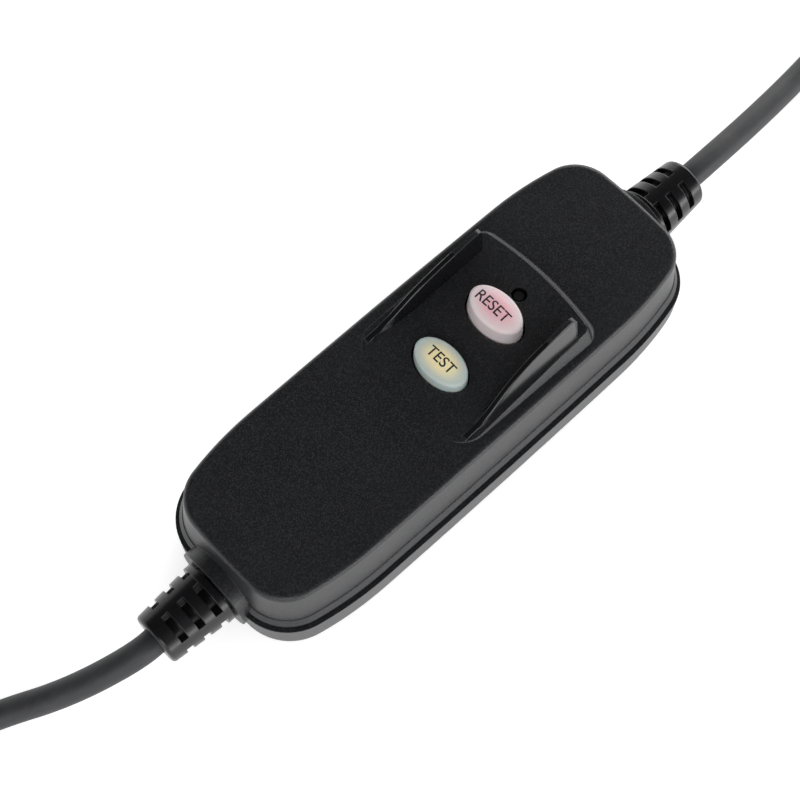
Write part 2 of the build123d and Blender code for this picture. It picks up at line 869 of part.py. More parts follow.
with BuildPart() as solenoid_frame:
    with BuildSketch(Plane.XY.offset(board_top)):
        with Locations((solenoid_middle, solenoid_y)):
            Rectangle(solenoid_length, 2 * solenoid_radius)
    extrude(amount=frame_plate)
    for x in (solenoid_start, solenoid_end - frame_plate):
        with BuildSketch(across(x)):
            with Locations((solenoid_y, (board_top + solenoid_height + solenoid_radius) / 2)):
                Rectangle(2 * solenoid_radius, solenoid_height + solenoid_radius - board_top)
            with Locations((solenoid_y, solenoid_height)):
                Circle(solenoid_bore, mode=Mode.SUBTRACT)
        extrude(amount=frame_plate)
finish(solenoid_frame, "solenoid_frame")

with BuildPart() as solenoid_plunger:
    with BuildSketch(across(solenoid_middle)):
        with Locations((solenoid_y, solenoid_height)):
            Circle(plunger_radius)
    extrude(amount=plunger_end - solenoid_middle)
    with BuildSketch(across(solenoid_end + relief_clearance)):
        with Locations((solenoid_y, solenoid_height)):
            Circle(plunger_collar)
    extrude(amount=plunger_radius)
    fillet(solenoid_plunger.edges().group_by(Axis.X)[-1], plunger_radius / 3)
finish(solenoid_plunger, "solenoid_plunger")

# Parts of the trip circuit on the board

with BuildPart() as varistor:
    with BuildSketch(Plane.XZ.offset(-varistor_y)):
        with Locations((varistor_x, board_top + varistor_radius)):
            Circle(varistor_radius)
    extrude(amount=varistor_thick / 2, both=True)
    fillet(varistor.edges().filter_by(GeomType.CIRCLE), varistor_thick / 4)
finish(varistor, "varistor")

with BuildPart() as capacitor:
    with Locations((capacitor_x, capacitor_y, board_top)):
        Box(
            capacitor_length,
            capacitor_width,
            capacitor_height,
            align=(Align.CENTER, Align.CENTER, Align.MIN),
        )
    fillet(capacitor.edges().filter_by(Axis.Z), capacitor_width / 6)
finish(capacitor, "capacitor")

with BuildPart() as trip_circuit:
    with Locations((chip_x, chip_y, board_top)):
        Box(chip_length, chip_width, chip_height, align=(Align.CENTER, Align.CENTER, Align.MIN))
    chamfer(trip_circuit.faces().sort_by(Axis.Z)[-1].edges(), chip_height / 5)
finish(trip_circuit, "trip_circuit")

# Terminals, cord clamps, cores and bend reliefs, the same at both ends


def relief_outline():
    """Half section of a bend relief: held flange, neck, shoulder ring and tapered sleeve."""
    bore = cord_radius + cord_bore_clearance
    return (
        (relief_start, bore),
        (relief_start, relief_flange_radius),
        (relief_flange_end, relief_flange_radius),
        (relief_flange_end, relief_neck_radius),
        (relief_shoulder, relief_neck_radius),
        (relief_shoulder, relief_ring_radius),
        (relief_ring_end, relief_ring_radius),
        (relief_ring_end, relief_root_radius),
        (relief_end, relief_tip_radius),
        (relief_end, bore),
    )


for name, side in ends:
    terminal_places = [(side * terminal_x, -terminal_y), (side * terminal_x, terminal_y)]
    terminal_top = board_top + terminal_height

    with BuildPart() as terminals:
        with BuildSketch(Plane.XY.offset(board_top)):
            with Locations(*terminal_places):
                Rectangle(terminal_length, terminal_width)
        extrude(amount=terminal_height)
        chamfer(terminals.edges().group_by(Axis.Z)[-1], slot_width / 2)
        with BuildSketch(across(side * (terminal_x + terminal_length / 2))):
            with Locations((-terminal_y, cord_height), (terminal_y, cord_height)):
                Circle(core_radius)
        extrude(amount=-side * terminal_length / 2, mode=Mode.SUBTRACT)
        with BuildSketch(Plane.XY.offset(cord_height)):
            with Locations(*terminal_places):
                Circle(terminal_screw_radius)
        extrude(amount=terminal_height, mode=Mode.SUBTRACT)
    finish(terminals, f"{name}_terminals")

    with BuildPart() as terminal_screws:
        with BuildSketch(Plane.XY.offset(cord_height + core_radius)):
            with Locations(*terminal_places):
                Circle(terminal_screw_radius)
        extrude(amount=terminal_top - cord_height - core_radius)
        with BuildSketch(Plane.XY.offset(terminal_top)):
            with Locations(*terminal_places):
                Circle(terminal_head_radius)
        extrude(amount=terminal_head_thick)
        with BuildSketch(Plane.XY.offset(terminal_top + terminal_head_thick)):
            with Locations(*terminal_places):
                Rectangle(3 * terminal_head_radius, slot_width)
        extrude(amount=-terminal_head_thick / 2, mode=Mode.SUBTRACT)
    finish(terminal_screws, f"{name}_terminal_screws")

    with BuildPart() as cores:
        for sign in (-1, 1):
            with BuildLine() as core_line:
                FilletPolyline(
                    (side * cord_start, sign * core_spread, cord_height + core_radius / 2),
                    (side * (cord_start - core_bend), sign * core_spread, cord_height + core_radius / 2),
                    (side * (terminal_x + terminal_length / 2 + core_bend), sign * terminal_y, cord_height),
                    (side * terminal_x, sign * terminal_y, cord_height),
                    radius=core_bend / 2,
                )
            with BuildSketch(Plane(core_line.line @ 0, z_dir=core_line.line % 0)):
                Circle(core_radius)
            sweep(path=core_line.line)
    finish(cores, f"{name}_cores")

    with BuildPart() as clamp:
        with BuildSketch(across(side * (clamp_x - clamp_length / 2))):
            with Locations((0, cord_height + clamp_grip)):
                Rectangle(
                    2 * clamp_half_width, clamp_height, align=(Align.CENTER, Align.MIN)
                )
            with Locations((0, cord_height)):
                Circle(cord_radius + fit, mode=Mode.SUBTRACT)
        extrude(amount=side * clamp_length)
        chamfer(clamp.edges().filter_by(Axis.X).group_by(Axis.Z)[-1], clamp_grip * 2)
        with BuildSketch(Plane.XY.offset(cord_height)):
            with Locations(*clamp_screws(side)):
                Circle(clamp_screw_radius + fit)
        extrude(amount=base_height, mode=Mode.SUBTRACT)
    finish(clamp, f"{name}_cord_clamp")

    with BuildPart() as clamp_bolts:
        clamp_top = cord_height + clamp_grip + clamp_height
        with BuildSketch(Plane.XY.offset(clamp_screw_end)):
            with Locations(*clamp_screws(side)):
                Circle(clamp_screw_radius)
        extrude(amount=clamp_top - clamp_screw_end)
        with BuildSketch(Plane.XY.offset(clamp_top)):
            with Locations(*clamp_screws(side)):
                Circle(clamp_head_radius)
        extrude(amount=clamp_head_thick)
    finish(clamp_bolts, f"{name}_clamp_screws")

    with BuildPart() as bars:
        # open windows between the rings, in four columns parted by spines
        for step in range(relief_bar_count):
            with BuildSketch(across(side * (relief_ring_end + step * relief_bar_pitch))):
                with Locations((0, cord_height)):
                    Circle(relief_flange_radius)
                    Circle(relief_core_radius, mode=Mode.SUBTRACT)
            extrude(amount=side * relief_bar_gap)
        with BuildSketch(across(side * relief_shoulder)):
            with Locations((0, cord_height)):
                Rectangle(relief_spine, 2 * collar_radius, rotation=relief_turns[name])
                Rectangle(2 * collar_radius, relief_spine, rotation=relief_turns[name])
        extrude(amount=side * (relief_end - relief_shoulder), mode=Mode.SUBTRACT)

    with BuildPart() as relief:
        with BuildSketch(Plane.XZ):
            with BuildLine():
                Polyline(
                    *[(side * x, cord_height + r) for x, r in relief_outline()], close=True
                )
            make_face()
        revolve(axis=Axis((0, 0, cord_height), (1, 0, 0)))
        rim_edges = relief.edges().filter_by(GeomType.CIRCLE).sort_by(Axis.X, reverse=side < 0)[-2:]
        fillet(rim_edges.sort_by(SortBy.RADIUS)[-1], relief_lip_radius)
        add(bars.part, mode=Mode.SUBTRACT)
    finish(relief, f"{name}_relief")

with BuildPart() as earth_core:
    with BuildLine() as earth_line:
        FilletPolyline(
            (cord_start, 0, cord_height - 2 * core_radius),
            (cord_start - core_bend, 0, cord_height - 2 * core_radius),
            (board_half_length, 0, earth_height),
            (-board_half_length, 0, earth_height),
            (core_bend - cord_start, 0, cord_height - 2 * core_radius),
            (-cord_start, 0, cord_height - 2 * core_radius),
            radius=core_bend / 2,
        )
    with BuildSketch(Plane(earth_line.line @ 0, z_dir=earth_line.line % 0)):
        Circle(core_radius)
    sweep()
finish(earth_core, "earth_core")

# Lead: both free stretches run from their clamp through the relief, down to the floor and up again

floor_line = cord_radius + floor_clearance
plug_height = plug_radius
coupler_height = coupler_radius

supply_route = (
    (cord_start, 0, cord_height),
    (relief_end + cord_straight, 0, cord_height),
    (135.0, 2.0, 11.0),
    (163.0, 5.2, floor_line),
    (196.0, 8.6, floor_line),
    (223.0, 5.2, 6.6),
    (249.0, 0, plug_height),
    (plug_start + plug_relief_length, 0, plug_height),
)
load_route = (
    (-cord_start, 0, cord_height),
    (-relief_end - cord_straight, 0, cord_height),
    (-126.0, 7.0, 9.8),
    (-142.5, 16.4, 4.3),
    (-161.0, 22.8, floor_line),
    (-185.0, 22.4, floor_line),
    (-211.0, 12.6, 6.6),
    (-241.0, 0, coupler_height),
    (-coupler_start - plug_relief_length, 0, coupler_height),
)


def bend_radii(route, name):
    """Largest radius that each corner's two runs allow, printed with the length of the line."""
    points = [Vector(p) for p in route]
    radii = []
    for a, b, c in zip(points, points[1:], points[2:]):
        turn = math.radians((b - a).get_angle(c - b))
        radii.append(0.45 * min((b - a).length, (c - b).length) / math.tan(turn / 2))
    print(name, "bend radii", [round(r) for r in radii], "least wanted", least_bend)
    return radii


for name, route in (("supply_cord", supply_route), ("load_cord", load_route)):
    with BuildPart() as cord:
        with BuildLine() as cord_line:
            FilletPolyline(*route, radius=bend_radii(route, name))
        with BuildSketch(Plane(cord_line.line @ 0, z_dir=cord_line.line % 0)):
            Circle(cord_radius)
        sweep()
    length = cord_line.wires()[0].length
    ratio = cord.part.volume / (math.pi * cord_radius**2 * length)
    print(name, "length", round(length), "volume to section times length", round(ratio, 4))
    finish(cord, name)

# Plug on the supply side and coupler on the load side, with matching reliefs


def on_lead(side, height):
    return Axis((0, 0, height), (1, 0, 0))


for name, side, start, height in (
    ("plug", 1, plug_start, plug_height),
    ("coupler", -1, coupler_start, coupler_height),
):
    root = start + plug_relief_length
    with BuildPart() as end_relief:
        with BuildSketch(Plane.XZ):
            with BuildLine():
                bore = cord_radius + cord_bore_clearance
                Polyline(
                    (side * start, height + bore),
                    (side * start, height + plug_relief_tip),
                    (side * root, height + plug_relief_root),
                    (side * root, height + bore),
                    close=True,
                )
            make_face()
        revolve(axis=on_lead(side, height))
        slot_pitch = plug_relief_length / 5
        for step in (1, 2, 3, 4):
            with BuildSketch(across(side * (start + step * slot_pitch))):
                with Locations((0, height)):
                    Circle(plug_radius)
                    Circle(plug_relief_tip - slot_width, mode=Mode.SUBTRACT)
                    if step % 2:
                        Rectangle(relief_spine, 2 * plug_radius, mode=Mode.SUBTRACT)
                    else:
                        Rectangle(2 * plug_radius, relief_spine, mode=Mode.SUBTRACT)
            extrude(amount=side * slot_pitch / 2, mode=Mode.SUBTRACT)
    finish(end_relief, f"{name}_relief")

plug_back = plug_start + plug_relief_length
plug_front = plug_back + plug_length
pins = [(-pin_spacing / 2, plug_height), (pin_spacing / 2, plug_height)]

with BuildPart() as plug_body:
    with BuildSketch(Plane.XZ):
        with BuildLine():
            Line((plug_back, plug_height), (plug_back, plug_height + plug_grip_radius * 0.8))
            waist = plug_front - plug_disc
            Spline(
                (plug_back, plug_height + plug_grip_radius * 0.8),
                ((plug_back + waist) / 2, plug_height + plug_grip_radius),
                (waist, plug_height + plug_radius),
                tangents=((1, 0.2), (0.5, 1)),
            )
            Polyline(
                (waist, plug_height + plug_radius),
                (plug_front, plug_height + plug_radius),
                (plug_front, plug_height),
                (plug_back, plug_height),
            )
        make_face()
    revolve(axis=Axis((0, 0, plug_height), (1, 0, 0)))
    fillet(plug_body.edges().filter_by(GeomType.CIRCLE).sort_by(Axis.X)[-1], cap_edge_radius)
    with BuildSketch(across(plug_front)):
        with Locations(*pins):
            Circle(pin_shank_radius)
    extrude(amount=-pin_depth, mode=Mode.SUBTRACT)
    with BuildSketch(across(plug_front)):
        for sign in (-1, 1):
            with Locations((0, plug_height + sign * plug_radius)):
                Rectangle(earth_width + 2, 2 * cap_wall)
    extrude(amount=-2 * plug_disc, mode=Mode.SUBTRACT)
finish(plug_body, "plug_body")

with BuildPart() as plug_pins:
    with BuildSketch(across(plug_front - pin_depth)):
        with Locations(*pins):
            Circle(pin_shank_radius)
    extrude(amount=pin_depth)
    with BuildSketch(across(plug_front)):
        with Locations(*pins):
            Circle(pin_radius)
    extrude(amount=pin_length)
    fillet(plug_pins.edges().group_by(Axis.X)[-1], pin_radius / 2)
finish(plug_pins, "plug_pins")

with BuildPart() as plug_earth_contacts:
    with BuildSketch(across(plug_front - cap_wall)):
        for sign in (-1, 1):
            with Locations((0, plug_height + sign * (plug_radius - cap_wall + earth_thick / 2))):
                Rectangle(earth_width, earth_thick)
    extrude(amount=-plug_disc)
finish(plug_earth_contacts, "plug_earth_contacts")

coupler_back = coupler_start + plug_relief_length
coupler_front = coupler_back + coupler_length
well_floor = coupler_front - coupler_well_depth
sockets = [(-pin_spacing / 2, coupler_height), (pin_spacing / 2, coupler_height)]

with BuildPart() as coupler_body:
    with BuildSketch(Plane.XZ):
        with BuildLine():
            barrel = coupler_front - coupler_barrel
            Line((-coupler_back, coupler_height), (-coupler_back, coupler_height + plug_grip_radius * 0.8))
            Spline(
                (-coupler_back, coupler_height + plug_grip_radius * 0.8),
                (-(coupler_back + barrel) / 2, coupler_height + coupler_grip_radius),
                (-barrel, coupler_height + coupler_radius),
                tangents=((-1, 0.2), (-0.6, 1)),
            )
            Polyline(
                (-barrel, coupler_height + coupler_radius),
                (-coupler_front, coupler_height + coupler_radius),
                (-coupler_front, coupler_height + coupler_well_radius),
                (-well_floor, coupler_height + coupler_well_radius),
                (-well_floor, coupler_height),
                (-coupler_back, coupler_height),
            )
        make_face()
    revolve(axis=Axis((0, 0, coupler_height), (1, 0, 0)))
    with BuildSketch(across(-well_floor)):
        with Locations(*sockets):
            Circle(sleeve_radius)
    extrude(amount=sleeve_length, mode=Mode.SUBTRACT)
finish(coupler_body, "coupler_body")

with BuildPart() as coupler_sockets:
    with BuildSketch(across(-well_floor)):
        with Locations(*sockets):
            Circle(sleeve_radius)
            Circle(sleeve_bore, mode=Mode.SUBTRACT)
    extrude(amount=sleeve_length)
finish(coupler_sockets, "coupler_sockets")

with BuildPart() as coupler_earth_contacts:
    with BuildSketch(across(-well_floor)):
        for sign in (-1, 1):
            with Locations((0, coupler_height + sign * (coupler_well_radius - earth_contact_gap))):
                Rectangle(earth_width, earth_thick)
    extrude(amount=-coupler_well_depth * 0.7)
finish(coupler_earth_contacts, "coupler_earth_contacts")
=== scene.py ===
"""Looks of the in-line residual current adapter: black case, guard fins, two soft caps, lead.

Metres, +X along the case towards the supply side, +Z up, the case stands on z = 0. Sizes in the
tables and in the surface functions are millimetres, and are turned into metres by mm.
"""

import json
import math

import bmesh
import bpy
import numpy as np
from mathutils import Matrix, Vector


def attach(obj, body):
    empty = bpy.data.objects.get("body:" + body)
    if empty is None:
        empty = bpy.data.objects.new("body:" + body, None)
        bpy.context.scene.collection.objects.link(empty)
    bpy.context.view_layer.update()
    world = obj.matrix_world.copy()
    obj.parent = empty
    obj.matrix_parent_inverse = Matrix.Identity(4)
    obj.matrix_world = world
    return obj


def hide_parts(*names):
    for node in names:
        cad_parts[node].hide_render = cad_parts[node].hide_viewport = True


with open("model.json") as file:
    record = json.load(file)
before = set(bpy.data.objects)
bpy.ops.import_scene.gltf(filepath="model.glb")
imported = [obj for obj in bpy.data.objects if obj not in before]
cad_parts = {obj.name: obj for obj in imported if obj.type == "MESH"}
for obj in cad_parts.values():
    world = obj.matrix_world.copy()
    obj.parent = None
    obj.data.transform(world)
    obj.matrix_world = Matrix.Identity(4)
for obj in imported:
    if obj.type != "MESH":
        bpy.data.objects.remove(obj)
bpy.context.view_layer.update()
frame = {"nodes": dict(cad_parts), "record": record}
nodes = frame["nodes"]
collection = bpy.context.scene.collection
mm = 0.001

# Camera: above the load end, looking down across the case

camera = bpy.data.objects.new("camera", bpy.data.cameras.new("camera"))
camera.data.lens = 69.668
camera.data.sensor_width = 36.0
camera.data.clip_start = 0.01
view_right = Vector((0.73112, -0.68218, 0.00933))
view_up = Vector((0.62975, 0.68007, 0.3754))
view_back = Vector((-0.26243, -0.26859, 0.92682))
camera.matrix_world = Matrix.Translation((-0.12005, -0.108733, 0.413533)) @ (
    Matrix((view_right, view_up, view_back)).transposed().to_4x4()
)
collection.objects.link(camera)
bpy.context.scene.camera = camera
bpy.context.scene.view_settings.view_transform = "Standard"

# Lead: one free cord on each side of the case, from its clamp to the plug or the coupler

lead_radius = 3.85 * mm
supply_points = (
    (62, 0, 17.5),
    (96, 0, 17.5),
    (107, 0, 17.5),
    (135, 2, 11),
    (163, 5.2, 3.9),
    (196, 8.6, 3.9),
    (223, 5.2, 6.6),
    (249, 0, 19.5),
    (273, 0, 19.5),
    (294, 0, 19.5),
)
load_points = (
    (-62, 0, 17.5),
    (-97, 0, 17.5),
    (-107, 0, 17.5),
    (-126, 7, 9.8),
    (-142.5, 16.4, 4.3),
    (-161, 22.8, 3.9),
    (-185, 22.4, 3.9),
    (-211, 12.6, 6.6),
    (-241, 0, 22.5),
    (-268, 0, 22.5),
    (-290, 0, 22.5),
)


def lead(name, points, node):
    """Round lead whose centre line is a quadratic NURBS spline with the route as control points.

    The bevel is a circle of radius 1, and each control point scales it to the lead's radius.
    """
    data = bpy.data.curves.new(name, "CURVE")
    data.dimensions = "3D"
    data.bevel_depth = 1.0
    data.bevel_resolution = 8
    data.resolution_u = 16
    data.use_fill_caps = True
    spline = data.splines.new("NURBS")
    spline.points.add(len(points) - 1)
    for control, (x, y, z) in zip(spline.points, points):
        control.co = (x * mm, y * mm, z * mm, 1)
        control.radius = lead_radius
    spline.order_u = 3
    spline.use_endpoint_u = True
    piece = bpy.data.objects.new(name, data)
    collection.objects.link(piece)
    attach(piece, "case")
    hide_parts(node)
    return piece


supply_lead = lead(
    "supply_lead", supply_points, "supply_cord",
)
load_lead = lead(
    "load_lead", load_points, "load_cord",
)


# Shader maths


class Link:
    """An output of a shader node; arithmetic on it adds Math nodes to its finish."""

    def __init__(self, finish, socket):
        self.finish = finish
        self.socket = socket

    def math(self, operation, first, second=0.0):
        return self.finish.node("Math", {"operation": operation}, {0: first, 1: second})

    def __add__(self, other):
        return self.math("ADD", self, other)

    __radd__ = __add__

    def __mul__(self, other):
        return self.math("MULTIPLY", self, other)

    __rmul__ = __mul__

    def __sub__(self, other):
        return self.math("SUBTRACT", self, other)

    def __rsub__(self, other):
        return self.math("SUBTRACT", other, self)

    def __truediv__(self, other):
        return self.math("DIVIDE", self, other)

    def __pow__(self, other):
        return self.math("POWER", self, other)

    def above(self, level):
        """The larger of this value and the level."""
        return self.math("MAXIMUM", self, level)

    def fade(self, low, high):
        """0 below low and 1 above high, with a smooth step between."""
        return self.finish.node(
            "MapRange",
            {"interpolation_type": "SMOOTHSTEP"},
            {"Value": self, "From Min": low, "From Max": high},
        )


class Finish:
    """A material with one Principled shader; node() adds any other node to it."""

    def __init__(self, name, colour=(0.8, 0.8, 0.8), **sockets):
        self.material = bpy.data.materials.new(name)
        self.material.use_nodes = True
        self.tree = self.material.node_tree
        self.shader = self.tree.nodes["Principled BSDF"]
        self.set("Base Color", colour)
        for socket, value in sockets.items():
            self.set(socket.replace("_", " "), value)

    def set(self, socket, value):
        self.feed(self.shader.inputs[socket], value)

    def feed(self, socket, value):
        """Gives a socket a link or a value; a colour of three gets an alpha of 1."""
        if isinstance(value, Link):
            self.tree.links.new(value.socket, socket)
        elif socket.type == "RGBA":
            socket.default_value = (*value, 1)
        else:
            socket.default_value = value

    def node(self, kind, settings=None, inputs=None, output=0):
        """Adds one node: its settings first, then a value or a link for each socket named."""
        made = self.tree.nodes.new("ShaderNode" + kind)
        for setting, value in (settings or {}).items():
            setattr(made, setting, value)
        for socket, value in (inputs or {}).items():
            self.feed(made.inputs[socket], value)
        return Link(self, made.outputs[output])

    def place(self):
        return self.node("TexCoord", output="Object")

    def part(self, axis):
        """One coordinate of the surface point, in metres."""
        return self.node("SeparateXYZ", {}, {0: self.place()}, output=axis)

    def noise(self, scale, detail=2.0, stretch=(1, 1, 1)):
        vector = self.node("Mapping", {}, {"Vector": self.place(), "Scale": stretch})
        return self.node("TexNoise", {}, {"Vector": vector, "Scale": scale, "Detail": detail})

    def mix(self, share, first, second):
        """Colour that turns from first to second as share goes from 0 to 1."""
        inputs = {0: share, 6: first, 7: second}
        return self.node("Mix", {"data_type": "RGBA"}, inputs, output=2)

    def bump(self, height, depth, soft_edge=0.0):
        """Sets the normal from a height whose 1 stands for depth metres.

        With a soft edge, the normals of the sides that meet at an edge blend over that radius.
        """
        inputs = {"Height": height, "Distance": depth, "Strength": 1.0}
        if soft_edge:
            inputs["Normal"] = self.node("Bevel", {"samples": 6}, {"Radius": soft_edge})
        self.set("Normal", self.node("Bump", {}, inputs))


# Materials: each black look is a colour, a roughness, the grain's width and depth and the radius
# of a soft edge

case_look = ((0.009, 0.0095, 0.0112), 0.4, 0.42 * mm, 0.07 * mm, 0.35 * mm)
relief_look = ((0.005, 0.005, 0.006), 0.27, 0.7 * mm, 0.012 * mm, 0.4 * mm)
plug_look = ((0.009, 0.009, 0.01), 0.4, 0.5 * mm, 0.02 * mm, 0.4 * mm)
case_glint_specks = 0.5
painted_glint_colour = (0.045, 0.046, 0.05)


def moulded(name, colour, roughness, grain, depth, soft_edge=0.0, specks=0.0, form=None):
    """Moulded plastic or rubber: fine grain of that width and depth, uneven tone and gloss.

    With specks above 0, single grains are painted a lighter grey as glints: a painted highlight
    for spark-eroded plastic that catches the light. A form gives a further height in metres for
    the normal.
    """
    spread = 0.08
    finish = Finish(name, colour)
    fine = finish.noise(1 / grain, 2.0)
    broad = finish.noise(60.0, 3.0)
    light = tuple(c * 1.35 + 0.002 for c in colour)
    dark = tuple(c * 0.75 for c in colour)
    finish.tone = finish.mix(broad * 0.6 + fine * 0.4, dark, light)
    # painted highlight: lighter specks in the colour stand in for glints off the grain
    if specks:
        share = finish.noise(1.1 / grain, 1.0).fade(0.42, 0.72) * specks
        finish.tone = finish.mix(share, finish.tone, painted_glint_colour)
    finish.set("Base Color", finish.tone)
    finish.set("Roughness", broad * spread + (roughness - spread / 2))
    height = fine + form(finish) * (1 / depth) if form else fine
    finish.bump(height, depth, soft_edge=soft_edge)
    return finish


def metal(name, colour, roughness, stretch):
    """Drawn or turned metal: fine lines along the piece in tone, gloss and height."""
    finish = Finish(name, colour, Metallic=1.0)
    lines = finish.noise(2500.0, 2.0, stretch)
    stain = finish.noise(140.0, 3.0)
    dark = tuple(c * 0.7 for c in colour)
    finish.set("Base Color", finish.mix(stain.fade(0.35, 0.75), colour, dark))
    finish.set("Roughness", lines * 0.12 + stain * 0.1 + (roughness - 0.11))
    finish.bump(lines, 0.006 * mm)
    return finish


bow_radius = 105.7 * mm
bow_centre = -65.1 * mm
slope_width = 2.6 * mm
slope_rate = 0.6


def end_slope(finish):
    """Height of the platform's surface where it slopes down to its bowed end, 0 before that.

    The end's edge is an arc round bow_centre, so the way in from it is the arc's radius less
    the distance from that centre. The case's top beyond the platform is lower and stays level.
    """
    along = finish.part("X") - bow_centre
    across = finish.part("Y")
    inside = bow_radius - (along * along + across * across) ** 0.5
    fall = (slope_width - inside.above(0.0)).above(0.0)
    on_platform = finish.part("Z").fade(37.3 * mm, 38 * mm)
    return fall * on_platform * -slope_rate


def cover_coat():
    """The case's plastic with the platform's end slope, which is painted a lighter grey as a
    painted highlight.
    """
    finish = moulded("cover_plastic", *case_look, specks=case_glint_specks, form=end_slope)
    painted_highlight_share = (end_slope(finish) / (-slope_rate * slope_width)).fade(0.1, 0.4)
    # painted highlight: the end slope's colour is lightened as if it caught the lamps
    finish.set("Base Color", finish.mix(painted_highlight_share, finish.tone, (0.11, 0.112, 0.12)))
    return finish


def core_coat(name, colour, level):
    """Cap core: its colour above the level, the height of the case's surface beside the cap.

    It is painted dark below the level as shade, so that no colour shows through the gap round
    the cap.
    """
    finish = moulded(name, colour, 0.4, 0.8 * mm, 0.01 * mm)
    high = finish.part("Z").fade((level - 0.3) * mm, (level + 0.3) * mm)
    # painted shade: dark below the level, where the gap round the cap lies in shade
    finish.set("Base Color", finish.mix(high, (0.01, 0.008, 0.008), colour))
    return finish


def lead_coat():
    """Rubber sheath: matt grey-black, with faint lengthwise flow lines and dust."""
    finish = Finish("lead_rubber")
    flow = finish.noise(900.0, 3.0, (0.06, 1, 1))
    fine = finish.noise(3000.0, 2.0)
    dust = finish.noise(120.0, 4.0).fade(0.45, 0.8)
    base = finish.mix(flow, (0.017, 0.018, 0.02), (0.034, 0.035, 0.038))
    finish.set("Base Color", finish.mix(dust * 0.25, base, (0.07, 0.07, 0.068)))
    finish.set("Roughness", fine * 0.1 + 0.5)
    finish.bump(flow * 0.5 + fine * 0.5, 0.02 * mm)
    return finish


def board_coat():
    """Laminate: green lacquer over a fine woven cloth, a darker tone between its threads."""
    finish = Finish("board")
    pitch = 2 * math.pi / (0.9 * mm)
    weave = finish.part("X") * pitch
    across = finish.part("Y") * pitch
    threads = weave.math("SINE", weave) * across.math("SINE", across) * 0.5 + 0.5
    finish.set("Base Color", finish.mix(threads, (0.012, 0.09, 0.035), (0.03, 0.17, 0.07)))
    finish.set("Roughness", threads * 0.1 + 0.3)
    finish.bump(threads, 0.01 * mm)
    return finish


def winding_coat():
    """Enamelled wire: turns side by side, shown as fine ridges of red copper."""
    finish = Finish("winding_copper", Metallic=0.7)
    turn = finish.part("X") * (2 * math.pi / (0.5 * mm))
    ridges = turn.math("SINE", turn) * 0.5 + 0.5
    finish.set("Base Color", finish.mix(ridges, (0.16, 0.04, 0.015), (0.62, 0.24, 0.09)))
    finish.set("Roughness", finish.noise(300.0) * 0.2 + 0.22)
    finish.bump(ridges, 0.05 * mm)
    return finish


def indicator_coat(piece):
    """Indicator: a disc of the case's own black inside a deeper ring, painted darker as shade.
    """
    corners = np.array(piece.bound_box)
    low, high = corners.min(0), corners.max(0)
    centre = (low + high) / 2
    radius = float((high - low)[0] / 2)
    finish = Finish("indicator_disc", Roughness=0.35)
    along = (finish.part("X") - float(centre[0])) / radius
    across = (finish.part("Y") - float(centre[1])) / radius
    ring = ((along * along + across * across) ** 0.5).fade(0.6, 0.75)
    # painted shade: the ring round the disc is near black, as the shade in its recess
    finish.set("Base Color", finish.mix(ring, (0.012, 0.0125, 0.014), (0.0005, 0.0005, 0.0005)))
    finish.bump(1 - ring, 0.4 * mm)
    return finish


fin_finish = moulded("fin_plastic", (0.006, 0.0062, 0.007), 0.15, 1.2 * mm, 0.006 * mm)
inner_finish = moulded("inner_plastic", (0.62, 0.60, 0.55), 0.45, 0.6 * mm, 0.01 * mm)
ink_finish = moulded("ink", (0.035, 0.012, 0.016), 0.5, 0.3 * mm, 0.002 * mm)
finishes = {
    "case_plastic": moulded("case_plastic", *case_look, specks=case_glint_specks),
    "relief_rubber": moulded("relief_rubber", *relief_look),
    "lead_rubber": lead_coat(),
    "plug_rubber": moulded("plug_rubber", *plug_look),
    "inner_plastic": inner_finish,
    "reset_red": core_coat("reset_red", (0.72, 0.16, 0.2), 40.6),
    "test_yellow": core_coat("test_yellow", (0.85, 0.62, 0.16), 39.0),
    "cap_silicone": inner_finish,
    "core_iron": moulded("core_iron", (0.05, 0.05, 0.055), 0.55, 0.25 * mm, 0.03 * mm),
    "pin_brass": metal("pin_brass", (0.72, 0.55, 0.26), 0.26, (0.04, 1, 1)),
    "steel": metal("steel", (0.58, 0.58, 0.57), 0.3, (1, 1, 0.05)),
    "board": board_coat(),
    "winding_copper": winding_coat(),
}


def coat(piece, finish):
    piece.data.materials.clear()
    piece.data.materials.append(finish.material)


for part in frame["record"]["subparts"]:
    piece = nodes[part["node"]]
    if part["material_slot"] == "lens_dark":
        coat(piece, indicator_coat(piece))
    else:
        coat(piece, finishes[part["material_slot"]])
for piece in (supply_lead, load_lead):
    coat(piece, finishes["lead_rubber"])
coat(nodes["top_cover"], cover_coat())


# Surfaces worked out on a grid


def grid_piece(name, points, ends):
    """Mesh over rows of points that each close on themselves: quads between neighbours.

    With ends, one flat face closes the first row and one the last.
    """
    rows, columns = points.shape[:2]
    index = np.arange(rows * columns).reshape(rows, columns)
    turn = np.roll(index, -1, axis=1)
    faces = np.stack([index[:-1], turn[:-1], turn[1:], index[1:]], axis=-1)
    faces = faces.reshape(-1, 4).tolist()
    if ends:
        faces.append(index[0][::-1].tolist())
        faces.append(index[-1].tolist())
    mesh = bpy.data.meshes.new(name)
    mesh.from_pydata((points * mm).reshape(-1, 3).tolist(), [], faces)
    mesh.shade_smooth()
    piece = bpy.data.objects.new(name, mesh)
    collection.objects.link(piece)
    return piece


# Guard fins, from the same sizes as the part's source

case_height = 37.15
platform_start = -12.4
platform_tilt = 3.95 / 53
fin_start, fin_end = -9.0, 31.7
fin_rise = 10.1
fin_inner, fin_outer = 16.4, 20.4
fin_end_round = 2.3
fin_foot_sunk = 1.2
skin = 0.15


def platform_height(x):
    return case_height + platform_tilt * (x - platform_start)


